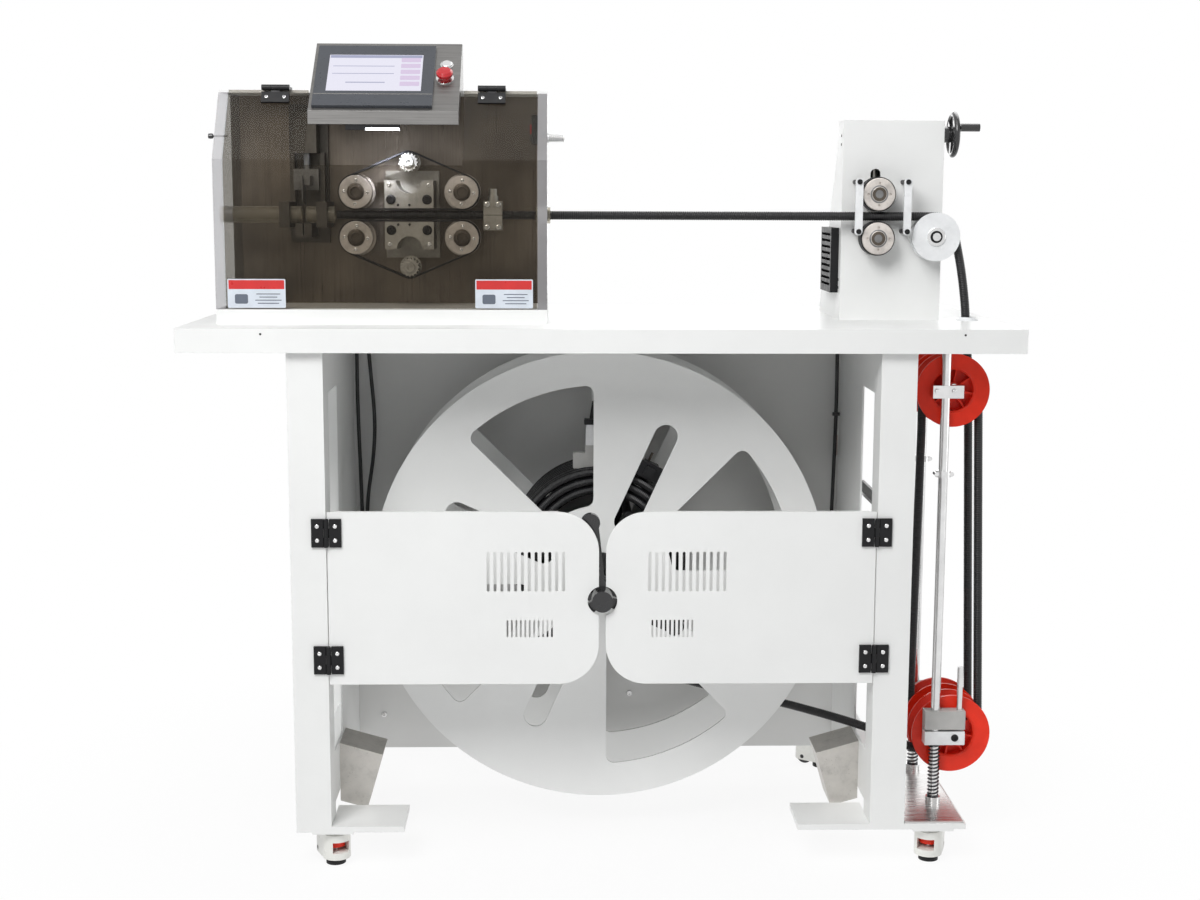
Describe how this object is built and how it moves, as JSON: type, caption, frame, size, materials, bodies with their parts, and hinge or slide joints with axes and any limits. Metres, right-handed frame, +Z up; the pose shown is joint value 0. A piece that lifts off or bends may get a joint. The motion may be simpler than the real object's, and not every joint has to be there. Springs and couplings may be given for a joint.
{
  "type": "tube cutting machine",
  "caption": "Bench-high tube cutter: feed and cutting head, pull-off tower, slack accumulator and tube spool on a sheet-metal table with levelling casters.",
  "frame": {"origin": "on the floor under the centre of the table top", "axes": "+X to the operator's right, +Y to the back, +Z up"},
  "size_m": [1.4, 0.6, 1.404],
  "materials": {
    "white_paint": "white powder coat, fine orange peel",
    "bay_paint": "pale grey powder coat",
    "galvanised": "dull galvanised sheet",
    "black_steel": "black oxide steel",
    "clear_acrylic": "clear acrylic",
    "smoked_acrylic": "smoked acrylic, slightly hazy",
    "console_steel": "brushed stainless sheet",
    "bright_steel": "ground steel",
    "screen_glass": "black glass over a display",
    "aluminium_parts": "machined aluminium",
    "dark_aluminium": "grey anodised",
    "black_rubber": "matt black rubber",
    "black_plastic": "black moulded plastic",
    "gloss_black": "glossy black plastic",
    "white_plastic": "white nylon",
    "red_plastic": "red moulded plastic",
    "spring_steel": "bright spring wire",
    "caster_paint": "cast housing, pale grey enamel",
    "motor_paint": "black motor housings"
  },
  "bodies": {
    "frame": {"tabletop": "white_paint", "left_end_frame": "white_paint", "right_end_frame": "white_paint", "back_panel": "bay_paint", "gusset_boxes": "galvanised", "hinge_plates": "black_steel", "head_housing": "white_paint", "head_side_plates": "clear_acrylic", "hmi_box": "console_steel", "touch_screen": "screen_glass", "feed_brackets": "aluminium_parts", "feed_belts": "black_rubber", "cutter_frame": "aluminium_parts", "guide_tubes": "clear_acrylic", "tower_housing": "white_paint", "vent_grille": "black_plastic", "roller_guides": "white_plastic", "accumulator_stand": "bright_steel", "buffer_springs": "spring_steel", "spool_spindle": "bright_steel", "tube_run": "black_rubber", "tube_strands": "black_rubber", "bay_cables": "black_plastic", "drive_motors": "motor_paint"},
    "levelling_feet": {"levelling_feet": "red_plastic"},
    "left_door": {"left_door": "white_paint"},
    "right_door": {"right_door": "white_paint"},
    "spool": {"spool_flanges": "white_paint", "spool_core": "black_steel", "tube_coil": "black_rubber"},
    "spool_handle": {"spool_handle": "gloss_black"},
    "cover": {"cover": "smoked_acrylic"},
    "estop_button": {"estop_button": "red_plastic"},
    "start_button": {"start_button": "bright_steel"},
    "cutter_blade": {"cutter_blade": "bright_steel"},
    "handwheel": {"handwheel": "gloss_black"},
    "roller_slide": {"roller_slide": "aluminium_parts"},
    "upper_roller": {"upper_roller": "black_rubber"},
    "lower_roller": {"lower_roller": "black_rubber"},
    "guide_pulley": {"guide_pulley": "white_plastic"},
    "carriage": {"carriage": "aluminium_parts", "tube_loops": "black_rubber"},
    "feed_wheel_upper_left": {"feed_wheel_upper_left": "aluminium_parts"},
    "feed_wheel_upper_right": {"feed_wheel_upper_right": "aluminium_parts"},
    "feed_wheel_lower_left": {"feed_wheel_lower_left": "aluminium_parts"},
    "feed_wheel_lower_right": {"feed_wheel_lower_right": "aluminium_parts"},
    "drive_pulley_upper": {"drive_pulley_upper": "dark_aluminium"},
    "drive_pulley_lower": {"drive_pulley_lower": "dark_aluminium"},
    "upper_pulley_front": {"upper_pulley_front": "red_plastic"},
    "upper_pulley_rear": {"upper_pulley_rear": "red_plastic"},
    "lower_pulley_front": {"lower_pulley_front": "red_plastic"},
    "lower_pulley_rear": {"lower_pulley_rear": "red_plastic"},
    "caster_front_left": {"caster_front_left": "caster_paint"},
    "caster_wheel_front_left": {"caster_wheel_front_left": "black_plastic"},
    "caster_front_right": {"caster_front_right": "caster_paint"},
    "caster_wheel_front_right": {"caster_wheel_front_right": "black_plastic"},
    "caster_rear_left": {"caster_rear_left": "caster_paint"},
    "caster_wheel_rear_left": {"caster_wheel_rear_left": "black_plastic"},
    "caster_rear_right": {"caster_rear_right": "caster_paint"},
    "caster_wheel_rear_right": {"caster_wheel_rear_right": "black_plastic"}
  },
  "joints": [
    {"name": "left_door_hinge", "type": "hinge", "parent": "frame", "child": "left_door", "pos_m": [-0.461, -0.289, 0.475], "axis": [0, 0, 1], "range_deg": [-120, 0]},
    {"name": "right_door_hinge", "type": "hinge", "parent": "frame", "child": "right_door", "pos_m": [0.461, -0.289, 0.475], "axis": [0, 0, 1], "range_deg": [0, 120]},
    {"name": "spool_turn", "type": "hinge", "parent": "frame", "child": "spool", "pos_m": [0, 0, 0.471], "axis": [0, 1, 0], "continuous": true},
    {"name": "handle_turn", "type": "hinge", "parent": "frame", "child": "spool_handle", "pos_m": [0, -0.2, 0.471], "axis": [0, 1, 0], "range_deg": [-360, 0]},
    {"name": "cover_hinge", "type": "hinge", "parent": "frame", "child": "cover", "pos_m": [-0.371, -0.134, 1.325], "axis": [-1, 0, 0], "range_deg": [0, 100]},
    {"name": "estop_press", "type": "slide", "parent": "frame", "child": "estop_button", "axis": [0, 0.6644, -0.7474], "range_m": [0, 0.004]},
    {"name": "start_press", "type": "slide", "parent": "frame", "child": "start_button", "axis": [0, 0.6644, -0.7474], "range_m": [0, 0.002], "stiffness_N_per_m": 500, "springref_m": -0.001},
    {"name": "drive_upper_turn", "type": "hinge", "parent": "frame", "child": "drive_pulley_upper", "pos_m": [-0.331, -0.105, 1.2015], "axis": [0, 1, 0], "continuous": true},
    {"name": "drive_lower_turn", "type": "hinge", "parent": "frame", "child": "drive_pulley_lower", "pos_m": [-0.331, -0.105, 1.0225], "axis": [0, 1, 0], "continuous": true},
    {"name": "feed_upper_left_turn", "type": "hinge", "parent": "frame", "child": "feed_wheel_upper_left", "pos_m": [-0.422, -0.105, 1.151], "axis": [0, 1, 0], "continuous": true},
    {"name": "feed_upper_right_turn", "type": "hinge", "parent": "frame", "child": "feed_wheel_upper_right", "pos_m": [-0.24, -0.105, 1.151], "axis": [0, 1, 0], "continuous": true},
    {"name": "feed_lower_left_turn", "type": "hinge", "parent": "frame", "child": "feed_wheel_lower_left", "pos_m": [-0.422, -0.105, 1.073], "axis": [0, 1, 0], "continuous": true},
    {"name": "feed_lower_right_turn", "type": "hinge", "parent": "frame", "child": "feed_wheel_lower_right", "pos_m": [-0.24, -0.105, 1.073], "axis": [0, 1, 0], "continuous": true},
    {"name": "cutter_slide", "type": "slide", "parent": "frame", "child": "cutter_blade", "axis": [0, 0, 1], "range_m": [-0.034, 0]},
    {"name": "handwheel_turn", "type": "hinge", "parent": "frame", "child": "handwheel", "pos_m": [0.6, -0.055, 1.254], "axis": [1, 0, 0], "range_deg": [0, 3960]},
    {"name": "roller_lift", "type": "slide", "parent": "frame", "child": "roller_slide", "axis": [0, 0, 1], "range_m": [0, 0.022]},
    {"name": "upper_roller_turn", "type": "hinge", "parent": "roller_slide", "child": "upper_roller", "pos_m": [0.48, -0.105, 1.15], "axis": [0, 1, 0], "continuous": true},
    {"name": "lower_roller_turn", "type": "hinge", "parent": "frame", "child": "lower_roller", "pos_m": [0.48, -0.105, 1.074], "axis": [0, 1, 0], "continuous": true},
    {"name": "guide_pulley_turn", "type": "hinge", "parent": "frame", "child": "guide_pulley", "pos_m": [0.582, -0.105, 1.077], "axis": [0, 1, 0], "continuous": true},
    {"name": "carriage_lift", "type": "slide", "parent": "frame", "child": "carriage", "axis": [0, 0, 1], "range_m": [0, 0.415], "deforming": ["tube_strands"]},
    {"name": "upper_pulley_front_turn", "type": "hinge", "parent": "frame", "child": "upper_pulley_front", "pos_m": [0.608, -0.15, 0.815], "axis": [0, 1, 0], "continuous": true},
    {"name": "lower_pulley_front_turn", "type": "hinge", "parent": "carriage", "child": "lower_pulley_front", "pos_m": [0.624, -0.15, 0.201], "axis": [0, 1, 0], "continuous": true},
    {"name": "upper_pulley_rear_turn", "type": "hinge", "parent": "frame", "child": "upper_pulley_rear", "pos_m": [0.608, -0.074, 0.815], "axis": [0, 1, 0], "continuous": true},
    {"name": "lower_pulley_rear_turn", "type": "hinge", "parent": "carriage", "child": "lower_pulley_rear", "pos_m": [0.624, -0.074, 0.201], "axis": [0, 1, 0], "continuous": true},
    {"name": "feet_screw", "type": "slide", "parent": "frame", "child": "levelling_feet", "axis": [0, 0, 1], "range_m": [-0.006, 0]},
    {"name": "caster_front_left_swivel", "type": "hinge", "parent": "frame", "child": "caster_front_left", "pos_m": [-0.46, -0.25, 0.06], "axis": [0, 0, 1], "continuous": true},
    {"name": "caster_wheel_front_left_turn", "type": "hinge", "parent": "caster_front_left", "child": "caster_wheel_front_left", "pos_m": [-0.477, -0.22056, 0.019], "axis": [0.866, 0.5, 0], "continuous": true},
    {"name": "caster_front_right_swivel", "type": "hinge", "parent": "frame", "child": "caster_front_right", "pos_m": [0.573, -0.25, 0.06], "axis": [0, 0, 1], "continuous": true},
    {"name": "caster_wheel_front_right_turn", "type": "hinge", "parent": "caster_front_right", "child": "caster_wheel_front_right", "pos_m": [0.58737, -0.21919, 0.019], "axis": [0.9063, -0.4226, 0], "continuous": true},
    {"name": "caster_rear_left_swivel", "type": "hinge", "parent": "frame", "child": "caster_rear_left", "pos_m": [-0.46, 0.25, 0.06], "axis": [0, 0, 1], "continuous": true},
    {"name": "caster_wheel_rear_left_turn", "type": "hinge", "parent": "caster_rear_left", "child": "caster_wheel_rear_left", "pos_m": [-0.48945, 0.267, 0.019], "axis": [0.5, 0.866, 0], "continuous": true},
    {"name": "caster_rear_right_swivel", "type": "hinge", "parent": "frame", "child": "caster_rear_right", "pos_m": [0.46, 0.25, 0.06], "axis": [0, 0, 1], "continuous": true},
    {"name": "caster_wheel_rear_right_turn", "type": "hinge", "parent": "caster_rear_right", "child": "caster_wheel_rear_right", "pos_m": [0.43056, 0.267, 0.019], "axis": [0.5, 0.866, 0], "continuous": true}
  ],
  "couplings": [
    {"joint": "drive_lower_turn", "follows": "drive_upper_turn", "ratio": -1},
    {"joint": "feed_upper_left_turn", "follows": "drive_upper_turn", "ratio": 0.63605},
    {"joint": "feed_upper_right_turn", "follows": "drive_upper_turn", "ratio": 0.63605},
    {"joint": "feed_lower_left_turn", "follows": "drive_upper_turn", "ratio": -0.63605},
    {"joint": "feed_lower_right_turn", "follows": "drive_upper_turn", "ratio": -0.63605},
    {"joint": "roller_lift", "follows": "handwheel_turn", "m_per_rad": 0.00031831},
    {"joint": "upper_roller_turn", "follows": "lower_roller_turn", "ratio": -1}
  ]
}
